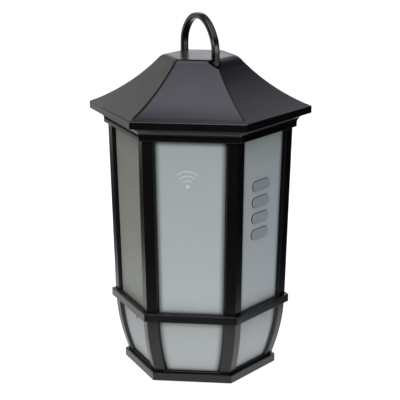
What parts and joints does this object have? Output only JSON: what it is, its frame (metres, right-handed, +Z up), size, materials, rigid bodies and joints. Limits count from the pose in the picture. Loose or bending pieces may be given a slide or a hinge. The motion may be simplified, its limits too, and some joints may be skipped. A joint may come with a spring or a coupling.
{
  "type": "outdoor wireless lantern speaker",
  "caption": "Six-sided lantern-shaped outdoor speaker with a pagoda roof, tilting carry handle, oval keys, perforated grille and a turning battery door.",
  "frame": {"origin": "on the ground under the centre of the body, at the level of the rubber feet", "axes": "+Z up; -Y out of the front panel; +X to the right of a person who faces the front panel, with the key column on the face between -Y and +X"},
  "size_m": [0.2226, 0.1928, 0.3618],
  "materials": {
    "black_abs": "satin black moulded ABS",
    "grey_panel": "pale blue-grey moulded panel, satin",
    "frosted_panel": "pale frosted diffuser, satin",
    "grille_mesh": "finely perforated painted sheet",
    "key_grey": "grey moulded keys, satin",
    "switch_black": "black moulded",
    "circuit_board": "green lacquered board",
    "black_rubber": "matt black rubber",
    "plated_steel": "zinc-plated steel",
    "ferrite": "ferrite magnet with steel plates",
    "paper_cone": "pressed black paper",
    "fibreboard": "fibreboard",
    "heat_sink_alloy": "extruded aluminium",
    "cell_wrap": "printed plastic sleeve, plain",
    "cage_plastic": "black moulded",
    "led_yellow": "phosphor lens",
    "lens_plastic": "smoked clear lens"
  },
  "bodies": {
    "housing": {"antenna": "plated_steel", "base_plate": "black_abs", "battery_cage": "cage_plastic", "battery_cell_1": "cell_wrap", "battery_cell_2": "cell_wrap", "battery_cell_3": "cell_wrap", "battery_cell_4": "cell_wrap", "battery_cell_5": "cell_wrap", "battery_cell_6": "cell_wrap", "belt_ring": "black_abs", "board_screws": "plated_steel", "case_screws": "plated_steel", "contact_plates": "plated_steel", "contact_springs": "plated_steel", "control_panel": "grey_panel", "cornice_ring": "black_abs", "driver_basket": "plated_steel", "driver_cone": "paper_cone", "driver_dust_cap": "paper_cone", "driver_magnet": "ferrite", "driver_screws": "plated_steel", "driver_surround": "black_rubber", "front_panel": "grey_panel", "handle_pins": "plated_steel", "heat_sink": "heat_sink_alloy", "key_board": "circuit_board", "key_switch_1": "switch_black", "key_switch_2": "switch_black", "key_switch_3": "switch_black", "key_switch_4": "switch_black", "lamp_board": "circuit_board", "lamp_leds": "led_yellow", "left_rear_panel": "grey_panel", "lower_frame": "black_abs", "lower_panel_control": "frosted_panel", "lower_panel_front": "frosted_panel", "lower_panel_grille": "frosted_panel", "lower_panel_left_rear": "frosted_panel", "lower_panel_rear": "frosted_panel", "lower_panel_right_rear": "frosted_panel", "main_board": "circuit_board", "post_frame": "black_abs", "power_inlet": "switch_black", "rear_panel": "grey_panel", "receiver_can": "plated_steel", "right_rear_panel": "grey_panel", "roof_shell": "black_abs", "rubber_feet": "black_rubber", "speaker_baffle": "fibreboard", "speaker_grille": "grille_mesh", "status_lens": "lens_plastic"},
    "handle": {"handle": "black_abs"},
    "battery_door": {"battery_door": "black_abs", "door_seal": "black_rubber"},
    "key_1": {"key_1": "key_grey"},
    "key_2": {"key_2": "key_grey"},
    "key_3": {"key_3": "key_grey"},
    "key_4": {"key_4": "key_grey"}
  },
  "joints": [
    {"name": "handle_tilt", "type": "hinge", "parent": "housing", "child": "handle", "pos_m": [0, 0, 0.3175], "axis": [0.5, -0.866, 0], "range_deg": [-45, 45]},
    {"name": "key_1_press", "type": "slide", "parent": "housing", "child": "key_1", "axis": [-0.8657, 0.4998, 0.0257], "range_m": [0, 0.001], "stiffness_N_per_m": 1500, "springref_m": -0.0004},
    {"name": "key_2_press", "type": "slide", "parent": "housing", "child": "key_2", "axis": [-0.8657, 0.4998, 0.0257], "range_m": [0, 0.001], "stiffness_N_per_m": 1500, "springref_m": -0.0004},
    {"name": "key_3_press", "type": "slide", "parent": "housing", "child": "key_3", "axis": [-0.8657, 0.4998, 0.0257], "range_m": [0, 0.001], "stiffness_N_per_m": 1500, "springref_m": -0.0004},
    {"name": "key_4_press", "type": "slide", "parent": "housing", "child": "key_4", "axis": [-0.8657, 0.4998, 0.0257], "range_m": [0, 0.001], "stiffness_N_per_m": 1500, "springref_m": -0.0004},
    {"name": "battery_door_turn", "type": "hinge", "parent": "housing", "child": "battery_door", "pos_m": [0, 0, 0.003], "axis": [0, 0, 1], "range_deg": [0, 40]}
  ]
}
